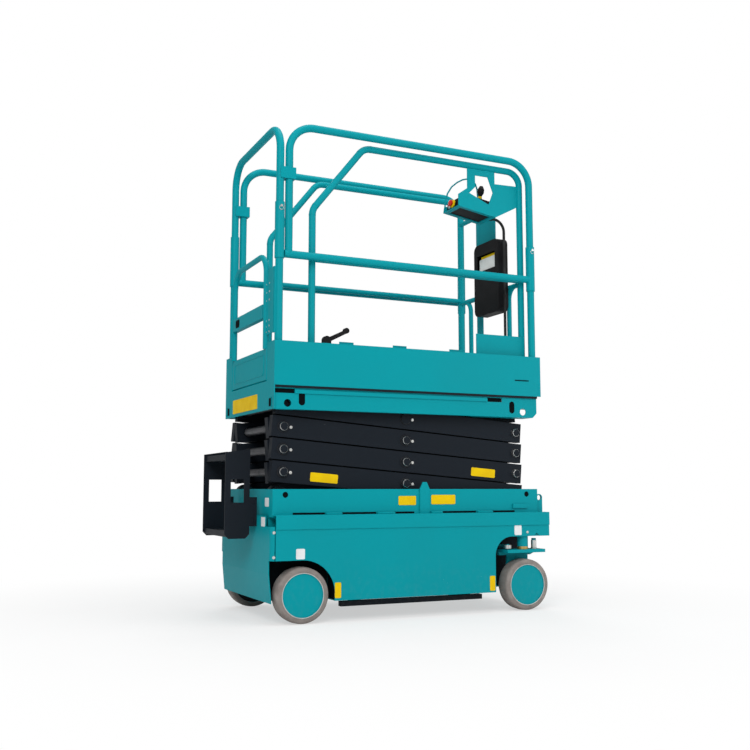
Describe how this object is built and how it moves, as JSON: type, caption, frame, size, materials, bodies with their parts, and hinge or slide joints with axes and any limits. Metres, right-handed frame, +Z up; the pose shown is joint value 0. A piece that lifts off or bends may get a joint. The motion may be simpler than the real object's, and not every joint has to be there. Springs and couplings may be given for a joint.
{
  "type": "compact electric scissor lift",
  "caption": "Compact self-propelled scissor lift with a slab chassis, stacked scissor arms, a railed platform with a roll-out deck, an entry gate and a rear ladder.",
  "frame": {"origin": "on the floor under the middle of the stowed machine's box", "axes": "+X to the steered front end, +Y to the machine's left side, +Z up"},
  "size_m": [1.559, 0.76, 2.2175],
  "materials": {
    "teal_paint": "satin",
    "charcoal_paint": "satin",
    "tyre_grey": "matt",
    "steel": "brushed",
    "brass": "turned",
    "black_plastic": "matt",
    "cable_rubber": "matt"
  },
  "bodies": {
    "chassis": {"chassis_frame": "teal_paint", "slide_channels": "teal_paint", "rear_beam": "teal_paint", "nose_frame": "teal_paint", "side_panel_right": "teal_paint", "side_panel_left": "teal_paint", "rear_cover": "teal_paint", "ladder": "charcoal_paint", "rear_axle_stubs": "steel", "pothole_guards": "charcoal_paint", "battery_pack": "black_plastic", "hydraulic_unit": "steel", "kingpin_washers": "brass"},
    "knuckle_right": {"knuckle_right": "teal_paint"},
    "knuckle_left": {"knuckle_left": "teal_paint"},
    "tie_rod": {"tie_rod": "steel"},
    "wheel_front_right": {"tyre_front_right": "tyre_grey", "hub_front_right": "teal_paint"},
    "wheel_front_left": {"tyre_front_left": "tyre_grey", "hub_front_left": "teal_paint"},
    "wheel_rear_right": {"tyre_rear_right": "tyre_grey", "hub_rear_right": "teal_paint"},
    "wheel_rear_left": {"tyre_rear_left": "tyre_grey", "hub_rear_left": "teal_paint"},
    "inner_1": {"inner_arms_1": "charcoal_paint"},
    "inner_2": {"inner_arms_2": "charcoal_paint"},
    "inner_3": {"inner_arms_3": "charcoal_paint"},
    "inner_4": {"inner_arms_4": "charcoal_paint", "upper_rollers": "brass"},
    "outer_1": {"outer_arms_1": "charcoal_paint", "lower_rollers": "brass"},
    "outer_2": {"outer_arms_2": "charcoal_paint"},
    "outer_3": {"outer_arms_3": "charcoal_paint"},
    "outer_4": {"outer_arms_4": "charcoal_paint"},
    "barrel": {"lift_barrel": "charcoal_paint"},
    "ram": {"lift_ram": "steel"},
    "platform": {"platform_frame": "teal_paint", "platform_deck": "charcoal_paint", "toe_boards": "teal_paint", "rear_rail": "teal_paint", "side_rail_right": "teal_paint", "side_rail_left": "teal_paint", "rail_clamps": "teal_paint"},
    "gate": {"gate_frame": "teal_paint", "gate_panels": "teal_paint"},
    "extension": {"extension_deck": "teal_paint", "extension_rails": "teal_paint", "control_bracket": "teal_paint", "control_box": "black_plastic", "control_grips": "black_plastic", "document_box": "black_plastic", "control_cable": "cable_rubber", "deck_latch": "black_plastic"}
  },
  "joints": [
    {"name": "lift", "type": "hinge", "parent": "chassis", "child": "inner_1", "pos_m": [-0.5585, 0, 0.546], "axis": [0, -1, 0], "range_deg": [0, 57]},
    {"name": "cross_1", "type": "hinge", "parent": "inner_1", "child": "outer_1", "pos_m": [0.04046, 0, 0.5955], "axis": [0, -1, 0], "range_deg": [-114, 0]},
    {"name": "front_pins_1", "type": "hinge", "parent": "inner_1", "child": "outer_2", "pos_m": [0.63942, 0, 0.645], "axis": [0, -1, 0], "range_deg": [-114, 0]},
    {"name": "cross_2", "type": "hinge", "parent": "outer_2", "child": "inner_2", "pos_m": [0.04046, 0, 0.6945], "axis": [0, -1, 0], "range_deg": [0, 114]},
    {"name": "rear_pins_2", "type": "hinge", "parent": "outer_2", "child": "inner_3", "pos_m": [-0.5585, 0, 0.744], "axis": [0, -1, 0], "range_deg": [0, 114]},
    {"name": "cross_3", "type": "hinge", "parent": "inner_3", "child": "outer_3", "pos_m": [0.04046, 0, 0.7935], "axis": [0, -1, 0], "range_deg": [-114, 0]},
    {"name": "front_pins_3", "type": "hinge", "parent": "inner_3", "child": "outer_4", "pos_m": [0.63942, 0, 0.843], "axis": [0, -1, 0], "range_deg": [-114, 0]},
    {"name": "cross_4", "type": "hinge", "parent": "outer_4", "child": "inner_4", "pos_m": [0.04046, 0, 0.8925], "axis": [0, -1, 0], "range_deg": [0, 114]},
    {"name": "platform_pins", "type": "hinge", "parent": "outer_4", "child": "platform", "pos_m": [-0.5585, 0, 0.942], "axis": [0, -1, 0], "range_deg": [0, 57]},
    {"name": "cylinder_foot", "type": "hinge", "parent": "chassis", "child": "barrel", "pos_m": [-0.25324, 0, 0.15], "axis": [0, -1, 0], "range_deg": [0, 28.5]},
    {"name": "ram_stroke", "type": "slide", "parent": "barrel", "child": "ram", "axis": [0.4039, 0, 0.9148], "range_m": [0, 0.3614]},
    {"name": "steer_right", "type": "hinge", "parent": "chassis", "child": "knuckle_right", "pos_m": [0.6485, -0.34, 0.3], "axis": [0, 0, 1], "range_deg": [-60, 60]},
    {"name": "steer_left", "type": "hinge", "parent": "chassis", "child": "knuckle_left", "pos_m": [0.6485, 0.34, 0.3], "axis": [0, 0, 1], "range_deg": [-60, 60]},
    {"name": "tie_rod_eye", "type": "hinge", "parent": "knuckle_right", "child": "tie_rod", "pos_m": [0.5635, -0.34, 0.2974], "axis": [0, 0, 1], "range_deg": [-60, 60]},
    {"name": "wheel_front_right_spin", "type": "hinge", "parent": "knuckle_right", "child": "wheel_front_right", "pos_m": [0.6485, -0.34, 0.12], "axis": [0, 1, 0], "continuous": true},
    {"name": "wheel_front_left_spin", "type": "hinge", "parent": "knuckle_left", "child": "wheel_front_left", "pos_m": [0.6485, 0.34, 0.12], "axis": [0, 1, 0], "continuous": true},
    {"name": "wheel_rear_right_spin", "type": "hinge", "parent": "chassis", "child": "wheel_rear_right", "pos_m": [-0.4875, -0.34, 0.12], "axis": [0, 1, 0], "continuous": true},
    {"name": "wheel_rear_left_spin", "type": "hinge", "parent": "chassis", "child": "wheel_rear_left", "pos_m": [-0.4875, 0.34, 0.12], "axis": [0, 1, 0], "continuous": true},
    {"name": "roll_out", "type": "slide", "parent": "platform", "child": "extension", "axis": [1, 0, 0], "range_m": [0, 0.6]},
    {"name": "gate_swing", "type": "hinge", "parent": "platform", "child": "gate", "pos_m": [-0.6225, -0.261, 1.1], "axis": [0, 0, -1], "range_deg": [0, 90]}
  ],
  "couplings": [
    {"joint": "cross_1", "follows": "lift", "ratio": -2},
    {"joint": "front_pins_1", "follows": "lift", "ratio": -2},
    {"joint": "cross_2", "follows": "lift", "ratio": 2},
    {"joint": "rear_pins_2", "follows": "lift", "ratio": 2},
    {"joint": "cross_3", "follows": "lift", "ratio": -2},
    {"joint": "front_pins_3", "follows": "lift", "ratio": -2},
    {"joint": "cross_4", "follows": "lift", "ratio": 2},
    {"joint": "platform_pins", "follows": "lift", "ratio": 1},
    {"joint": "cylinder_foot", "follows": "lift", "ratio": 0.5},
    {"joint": "ram_stroke", "follows": "lift", "m_per_rad": 0.3631},
    {"joint": "steer_left", "follows": "steer_right", "ratio": 1},
    {"joint": "tie_rod_eye", "follows": "steer_right", "ratio": -1}
  ]
}
